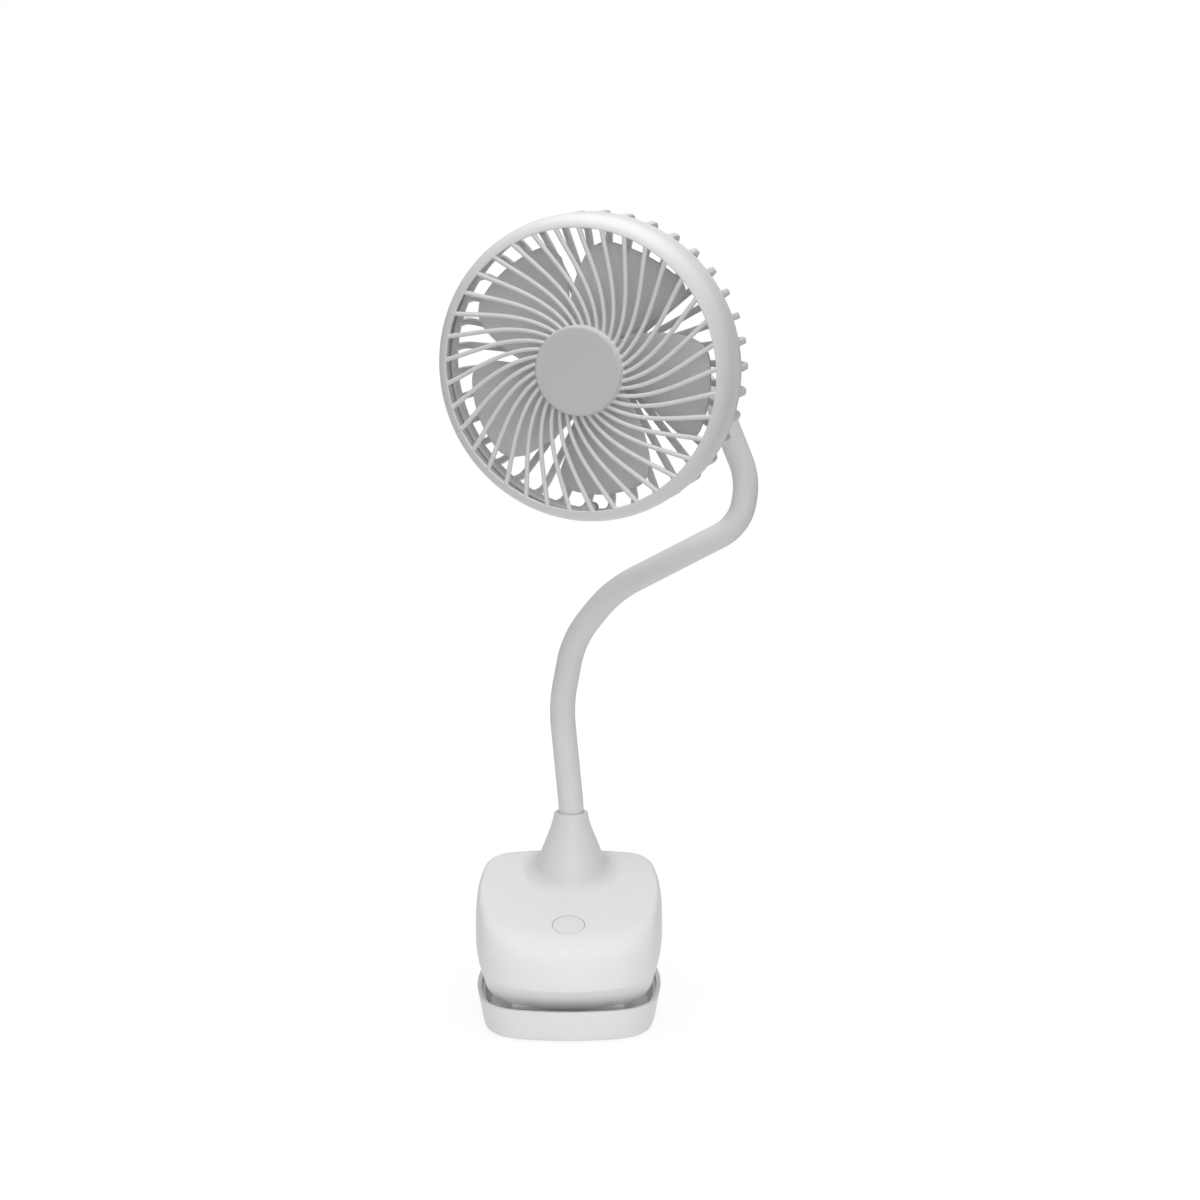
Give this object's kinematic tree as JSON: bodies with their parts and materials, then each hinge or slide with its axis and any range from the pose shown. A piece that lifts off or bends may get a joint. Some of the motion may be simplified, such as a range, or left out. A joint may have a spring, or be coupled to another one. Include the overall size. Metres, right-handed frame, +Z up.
{
  "type": "clip fan",
  "caption": "Rechargeable clip fan: a round caged fan head on a bendable neck that rises from a rounded spring clip base with a push button on its domed top.",
  "frame": {"origin": "middle of the underside of the lower jaw, where the clip base stands on a desk", "axes": "+Z up; the base's front, with the clip's mouth and the button, faces -Y; +X to the right as seen from the front"},
  "size_m": [0.1575, 0.1468, 0.4133],
  "materials": {
    "shell": "satin white moulded plastic",
    "button": "satin pale grey plastic",
    "blade": "satin pale grey plastic",
    "cap": "matte pale grey plastic",
    "sleeve": "matte white silicone rubber",
    "pad": "matte white silicone rubber",
    "coil": "plain steel wire",
    "lead": "black insulated cable",
    "zinc": "zinc plated steel",
    "nickel": "nickel plated steel",
    "brass": "turned brass",
    "bronze": "sintered bronze",
    "ferrite": "black ferrite",
    "laminate": "laminated core with windings",
    "board": "green circuit board",
    "switch": "black plastic",
    "cell": "wrapped lithium cell",
    "lamp": "clear light guide"
  },
  "bodies": {
    "lower_jaw": {"lower_tray": "shell", "base_strips": "pad", "lower_pad": "pad", "hinge_pin": "zinc", "pin_clips": "zinc", "torsion_spring": "coil"},
    "upper_jaw": {"upper_housing": "shell", "bottom_cover": "shell", "housing_screws": "zinc", "board_screws": "zinc", "upper_pad": "pad", "control_board": "board", "tact_switch": "switch", "battery_cell": "cell", "usb_socket": "nickel", "charge_lamp": "lamp", "base_ferrule": "brass", "base_nut": "brass", "neck_sleeve_1": "sleeve", "neck_core_1": "coil", "neck_lead_1": "lead"},
    "button": {"power_button": "button", "switch_plunger": "switch"},
    "neck_2": {"neck_sleeve_2": "sleeve", "neck_core_2": "coil", "neck_lead_2": "lead"},
    "neck_3": {"neck_sleeve_3": "sleeve", "neck_core_3": "coil", "neck_lead_3": "lead"},
    "neck_4": {"neck_sleeve_4": "sleeve", "neck_core_4": "coil", "neck_lead_4": "lead"},
    "neck_5": {"neck_sleeve_5": "sleeve", "neck_core_5": "coil", "neck_lead_5": "lead"},
    "neck_6": {"neck_sleeve_6": "sleeve", "neck_core_6": "coil", "neck_lead_6": "lead"},
    "head": {"neck_sleeve_7": "sleeve", "neck_core_7": "coil", "neck_lead_7": "lead", "head_ferrule": "brass", "head_nut": "brass", "front_grille": "shell", "hub_cap": "cap", "rear_grille": "shell", "grille_screws": "zinc", "motor_can": "zinc", "motor_end_plate": "switch", "motor_magnets": "ferrite", "front_bush": "bronze", "rear_bush": "bronze", "motor_screws": "zinc", "motor_cover": "shell", "cover_screws": "zinc"},
    "fan": {"impeller": "blade", "motor_shaft": "nickel", "motor_rotor": "laminate", "impeller_clip": "zinc"}
  },
  "joints": [
    {"name": "clip_hinge", "type": "hinge", "parent": "lower_jaw", "child": "upper_jaw", "pos_m": [0, 0.00899, 0.02215], "axis": [-1, 0, 0], "range_deg": [0, 30], "stiffness_Nm_per_rad": 1.5, "springref_deg": -5.73, "deforming": ["torsion_spring"]},
    {"name": "button_slide", "type": "slide", "parent": "upper_jaw", "child": "button", "axis": [0, 0.3256, -0.9455], "range_m": [0, 0.0008], "stiffness_N_per_m": 1500, "springref_m": -0.0004},
    {"name": "neck_joint_1", "type": "hinge", "parent": "upper_jaw", "child": "neck_2", "pos_m": [-0.00091, 0.019, 0.12591], "axis": [0.9954, 0, 0.0957], "range_deg": [-30, 30]},
    {"name": "neck_joint_2", "type": "hinge", "parent": "neck_2", "child": "neck_3", "pos_m": [-0.00087, 0.019, 0.17471], "axis": [0, 1, 0], "range_deg": [-30, 30]},
    {"name": "neck_joint_3", "type": "hinge", "parent": "neck_3", "child": "neck_4", "pos_m": [0.03954, 0.019, 0.22623], "axis": [-0.4614, 0, 0.8872], "range_deg": [-30, 30]},
    {"name": "neck_joint_4", "type": "hinge", "parent": "neck_4", "child": "neck_5", "pos_m": [0.06971, 0.019, 0.24192], "axis": [0, 1, 0], "range_deg": [-30, 30]},
    {"name": "neck_joint_5", "type": "hinge", "parent": "neck_5", "child": "neck_6", "pos_m": [0.08116, 0.019, 0.29743], "axis": [0.9293, 0, 0.3694], "range_deg": [-30, 30]},
    {"name": "neck_joint_6", "type": "hinge", "parent": "neck_6", "child": "head", "pos_m": [0.02849, -0.0055, 0.34057], "axis": [-0.0072, -0.0215, 0.9997], "range_deg": [-30, 30]},
    {"name": "fan_spin", "type": "hinge", "parent": "head", "child": "fan", "pos_m": [0.0059, -0.073, 0.33895], "axis": [-0.3172, -0.9481, -0.0227], "continuous": true}
  ]
}
